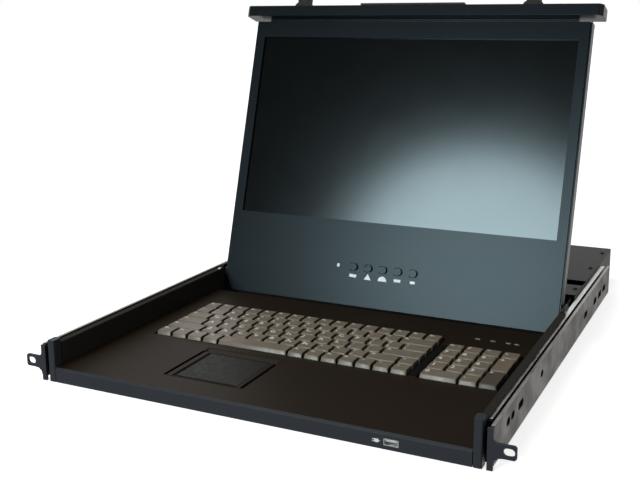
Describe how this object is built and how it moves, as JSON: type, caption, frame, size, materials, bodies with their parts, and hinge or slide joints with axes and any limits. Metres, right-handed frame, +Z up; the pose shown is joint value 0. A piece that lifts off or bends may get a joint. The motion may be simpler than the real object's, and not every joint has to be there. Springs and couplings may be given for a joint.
{
  "type": "rack console drawer with kvm switch",
  "caption": "Rack-mount console drawer: folding LCD, keyboard and touchpad on sliding rails, with the video and keyboard switch in its rear case.",
  "frame": {"origin": "centre of the bounding box's base: under the tray, midway between the rack ears and midway along the depth", "axes": "+X to the user's right, +Y from the front lip to the rear sockets, +Z up"},
  "size_m": [0.4826, 0.6, 0.3813],
  "materials": {
    "black_steel": "fine powder coat, nearly black, satin",
    "blue_black": "fine powder coat, blue-black, satin",
    "deck_black": "fine textured coat, brown-black",
    "grey_steel": "plated steel, dull",
    "zinc": "bright zinc plating",
    "chrome": "polished plating",
    "alloy_black": "powder-coated aluminium, blue-black, satin",
    "alloy_case": "folded aluminium sheet",
    "key_grey": "satin moulded plastic, grey-brown",
    "plastic_black": "satin moulded plastic, black",
    "board_green": "solder-masked circuit board",
    "screen": "anti-glare, black when off",
    "lamp": "clear lens, unlit"
  },
  "bodies": {
    "rack": {"outer_rail_left": "grey_steel", "outer_rail_right": "grey_steel", "rack_bracket_left": "blue_black", "rack_bracket_right": "blue_black"},
    "slide_members": {"middle_slide_left": "zinc", "middle_slide_right": "zinc"},
    "drawer": {"inner_slide_left": "zinc", "inner_slide_right": "zinc", "front_post_left": "alloy_black", "front_post_right": "alloy_black", "hinge_bracket_left": "black_steel", "hinge_bracket_right": "black_steel", "tray": "black_steel", "front_lip": "blue_black", "usb_socket": "chrome", "keyboard_deck": "deck_black", "status_lights": "lamp", "key_base": "plastic_black", "touchpad_frame": "plastic_black", "touchpad": "plastic_black", "rear_case": "black_steel", "rear_cover": "black_steel", "cable_cover": "black_steel", "switch_board": "board_green", "power_supply": "alloy_case", "computer_ports": "chrome", "power_inlet": "plastic_black"},
    "display": {"bezel": "alloy_black", "lcd_panel": "screen", "back_shell": "alloy_black", "display_board": "board_green", "power_light": "lamp", "top_bar": "alloy_black", "badge_plate": "plastic_black", "carry_handle": "alloy_black", "hinge_pin_left": "chrome", "hinge_pin_right": "chrome"},
    "function_keys_body": {"function_keys": "key_grey"},
    "number_keys_body": {"number_keys": "key_grey"},
    "upper_keys_body": {"upper_keys": "key_grey"},
    "home_keys_body": {"home_keys": "key_grey"},
    "lower_keys_body": {"lower_keys": "key_grey"},
    "control_keys_left_body": {"control_keys_left": "key_grey"},
    "space_bar_body": {"space_bar": "key_grey"},
    "control_keys_right_body": {"control_keys_right": "key_grey"},
    "pad_keys_1_body": {"pad_keys_1": "key_grey"},
    "pad_keys_2_body": {"pad_keys_2": "key_grey"},
    "pad_keys_3_body": {"pad_keys_3": "key_grey"},
    "pad_keys_4_body": {"pad_keys_4": "key_grey"},
    "pad_keys_5_body": {"pad_keys_5": "key_grey"},
    "plus_key_body": {"plus_key": "key_grey"},
    "enter_key_body": {"enter_key": "key_grey"},
    "touch_button_left_body": {"touch_button_left": "plastic_black"},
    "touch_button_right_body": {"touch_button_right": "plastic_black"},
    "menu_button_1_body": {"menu_button_1": "plastic_black"},
    "menu_button_2_body": {"menu_button_2": "plastic_black"},
    "menu_button_3_body": {"menu_button_3": "plastic_black"},
    "menu_button_4_body": {"menu_button_4": "plastic_black"},
    "menu_button_5_body": {"menu_button_5": "plastic_black"},
    "power_rocker": {"power_switch": "plastic_black"}
  },
  "joints": [
    {"name": "drawer_slide", "type": "slide", "parent": "rack", "child": "drawer", "axis": [0, -1, 0], "range_m": [0, 0.4]},
    {"name": "middle_members_slide", "type": "slide", "parent": "rack", "child": "slide_members", "axis": [0, -1, 0], "range_m": [0, 0.2]},
    {"name": "display_tilt", "type": "hinge", "parent": "drawer", "child": "display", "pos_m": [0, 0.0188, 0.031], "axis": [1, 0, 0], "range_deg": [-5, 107.3]},
    {"name": "press_function_keys", "type": "slide", "parent": "drawer", "child": "function_keys_body", "axis": [0, 0, -1], "range_m": [0, 0.002], "stiffness_N_per_m": 960, "springref_m": -0.004},
    {"name": "press_number_keys", "type": "slide", "parent": "drawer", "child": "number_keys_body", "axis": [0, 0, -1], "range_m": [0, 0.002], "stiffness_N_per_m": 840, "springref_m": -0.004},
    {"name": "press_upper_keys", "type": "slide", "parent": "drawer", "child": "upper_keys_body", "axis": [0, 0, -1], "range_m": [0, 0.002], "stiffness_N_per_m": 840, "springref_m": -0.004},
    {"name": "press_home_keys", "type": "slide", "parent": "drawer", "child": "home_keys_body", "axis": [0, 0, -1], "range_m": [0, 0.002], "stiffness_N_per_m": 780, "springref_m": -0.004},
    {"name": "press_lower_keys", "type": "slide", "parent": "drawer", "child": "lower_keys_body", "axis": [0, 0, -1], "range_m": [0, 0.002], "stiffness_N_per_m": 780, "springref_m": -0.004},
    {"name": "press_control_keys_left", "type": "slide", "parent": "drawer", "child": "control_keys_left_body", "axis": [0, 0, -1], "range_m": [0, 0.002], "stiffness_N_per_m": 240, "springref_m": -0.004},
    {"name": "press_space_bar", "type": "slide", "parent": "drawer", "child": "space_bar_body", "axis": [0, 0, -1], "range_m": [0, 0.002], "stiffness_N_per_m": 60, "springref_m": -0.004},
    {"name": "press_control_keys_right", "type": "slide", "parent": "drawer", "child": "control_keys_right_body", "axis": [0, 0, -1], "range_m": [0, 0.002], "stiffness_N_per_m": 420, "springref_m": -0.004},
    {"name": "press_pad_keys_1", "type": "slide", "parent": "drawer", "child": "pad_keys_1_body", "axis": [0, 0, -1], "range_m": [0, 0.002], "stiffness_N_per_m": 240, "springref_m": -0.004},
    {"name": "press_pad_keys_2", "type": "slide", "parent": "drawer", "child": "pad_keys_2_body", "axis": [0, 0, -1], "range_m": [0, 0.002], "stiffness_N_per_m": 180, "springref_m": -0.004},
    {"name": "press_pad_keys_3", "type": "slide", "parent": "drawer", "child": "pad_keys_3_body", "axis": [0, 0, -1], "range_m": [0, 0.002], "stiffness_N_per_m": 180, "springref_m": -0.004},
    {"name": "press_pad_keys_4", "type": "slide", "parent": "drawer", "child": "pad_keys_4_body", "axis": [0, 0, -1], "range_m": [0, 0.002], "stiffness_N_per_m": 180, "springref_m": -0.004},
    {"name": "press_pad_keys_5", "type": "slide", "parent": "drawer", "child": "pad_keys_5_body", "axis": [0, 0, -1], "range_m": [0, 0.002], "stiffness_N_per_m": 120, "springref_m": -0.004},
    {"name": "press_plus_key", "type": "slide", "parent": "drawer", "child": "plus_key_body", "axis": [0, 0, -1], "range_m": [0, 0.002], "stiffness_N_per_m": 60, "springref_m": -0.004},
    {"name": "press_enter_key", "type": "slide", "parent": "drawer", "child": "enter_key_body", "axis": [0, 0, -1], "range_m": [0, 0.002], "stiffness_N_per_m": 60, "springref_m": -0.004},
    {"name": "press_touch_button_left", "type": "slide", "parent": "drawer", "child": "touch_button_left_body", "axis": [0, 0, -1], "range_m": [0, 0.0008], "stiffness_N_per_m": 200, "springref_m": -0.0015},
    {"name": "press_touch_button_right", "type": "slide", "parent": "drawer", "child": "touch_button_right_body", "axis": [0, 0, -1], "range_m": [0, 0.0008], "stiffness_N_per_m": 200, "springref_m": -0.0015},
    {"name": "press_menu_button_1", "type": "slide", "parent": "display", "child": "menu_button_1_body", "axis": [0, 0.9548, -0.2974], "range_m": [0, 0.001], "stiffness_N_per_m": 100, "springref_m": -0.002},
    {"name": "press_menu_button_2", "type": "slide", "parent": "display", "child": "menu_button_2_body", "axis": [0, 0.9548, -0.2974], "range_m": [0, 0.001], "stiffness_N_per_m": 100, "springref_m": -0.002},
    {"name": "press_menu_button_3", "type": "slide", "parent": "display", "child": "menu_button_3_body", "axis": [0, 0.9548, -0.2974], "range_m": [0, 0.001], "stiffness_N_per_m": 100, "springref_m": -0.002},
    {"name": "press_menu_button_4", "type": "slide", "parent": "display", "child": "menu_button_4_body", "axis": [0, 0.9548, -0.2974], "range_m": [0, 0.001], "stiffness_N_per_m": 100, "springref_m": -0.002},
    {"name": "press_menu_button_5", "type": "slide", "parent": "display", "child": "menu_button_5_body", "axis": [0, 0.9548, -0.2974], "range_m": [0, 0.001], "stiffness_N_per_m": 100, "springref_m": -0.002},
    {"name": "power_rocker_tilt", "type": "hinge", "parent": "drawer", "child": "power_rocker", "pos_m": [-0.146, 0.2915, 0.02], "axis": [1, 0, 0], "range_deg": [0, 12]}
  ],
  "couplings": [
    {"joint": "middle_members_slide", "follows": "drawer_slide", "ratio": 0.5}
  ]
}
